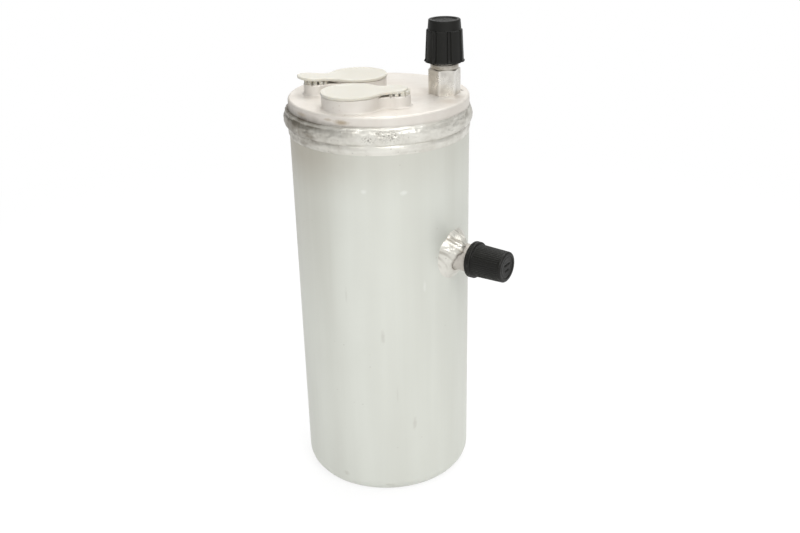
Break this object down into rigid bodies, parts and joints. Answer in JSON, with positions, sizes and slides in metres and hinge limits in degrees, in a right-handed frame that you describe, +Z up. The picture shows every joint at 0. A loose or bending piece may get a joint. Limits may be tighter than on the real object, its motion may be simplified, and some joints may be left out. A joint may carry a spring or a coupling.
{
  "type": "filter drier",
  "caption": "Upright aluminium receiver drier with a welded head, two covered port pads, a capped service valve and a capped side switch port.",
  "frame": {"origin": "centre of the can's flat base", "axes": "+Z up along the can, -Y the front, towards which the inlet port pad lies, +X towards the service valve"},
  "size_m": [0.1112, 0.097, 0.2449],
  "materials": {
    "satin_aluminium": "satin",
    "head_aluminium": "satin",
    "weld_aluminium": "rippled",
    "tube_aluminium": "drawn",
    "plated_steel": "bright plated",
    "plate_steel": "pressed",
    "spring_steel": "drawn wire",
    "core_brass": "turned",
    "black_plastic": "moulded",
    "translucent_plastic": "moulded, waxy",
    "strainer_plastic": "moulded",
    "seal_rubber": "moulded",
    "felt": "felt",
    "molecular_sieve": "beads"
  },
  "bodies": {
    "shell": {"can": "satin_aluminium", "end_cap": "head_aluminium", "seam_weld": "weld_aluminium", "service_valve_body": "plated_steel", "service_valve_o_ring": "seal_rubber", "service_core_body": "core_brass", "service_core_spring": "spring_steel", "switch_port_fitting": "head_aluminium", "switch_port_weld": "weld_aluminium", "switch_core_body": "core_brass", "switch_core_spring": "spring_steel", "pickup_tube": "tube_aluminium", "pickup_tube_o_ring": "seal_rubber", "strainer": "strainer_plastic", "lower_plate": "plate_steel", "lower_pad": "felt", "desiccant_bed": "molecular_sieve", "upper_pad": "felt", "upper_plate": "plate_steel", "hold_down_spring": "spring_steel"},
    "inlet_cover": {"inlet_transit_cover": "translucent_plastic"},
    "outlet_cover": {"outlet_transit_cover": "translucent_plastic"},
    "service_cap_body": {"service_cap": "black_plastic", "service_cap_seal": "seal_rubber"},
    "switch_cap_body": {"switch_port_cap": "black_plastic", "switch_cap_seal": "seal_rubber"},
    "service_pin": {"service_core_pin": "core_brass", "service_core_seal": "seal_rubber"},
    "switch_pin": {"switch_core_pin": "core_brass", "switch_core_seal": "seal_rubber"}
  },
  "joints": [
    {"name": "inlet_cover_lift", "type": "slide", "parent": "shell", "child": "inlet_cover", "axis": [0, 0, 1], "range_m": [0, 0.06]},
    {"name": "outlet_cover_lift", "type": "slide", "parent": "shell", "child": "outlet_cover", "axis": [0, 0, 1], "range_m": [0, 0.06]},
    {"name": "service_cap_off", "type": "slide", "parent": "shell", "child": "service_cap_body", "axis": [0, 0, 1], "range_m": [0, 0.022]},
    {"name": "switch_cap_off", "type": "slide", "parent": "shell", "child": "switch_cap_body", "axis": [0.8018, -0.5976, 0], "range_m": [0, 0.02]},
    {"name": "service_pin_press", "type": "slide", "parent": "shell", "child": "service_pin", "axis": [0, 0, -1], "range_m": [0, 0.0012], "stiffness_N_per_m": 400, "springref_m": -0.001, "deforming": ["service_core_spring"]},
    {"name": "switch_pin_press", "type": "slide", "parent": "shell", "child": "switch_pin", "axis": [-0.8018, 0.5976, 0], "range_m": [0, 0.0012], "stiffness_N_per_m": 400, "springref_m": -0.001, "deforming": ["switch_core_spring"]}
  ]
}
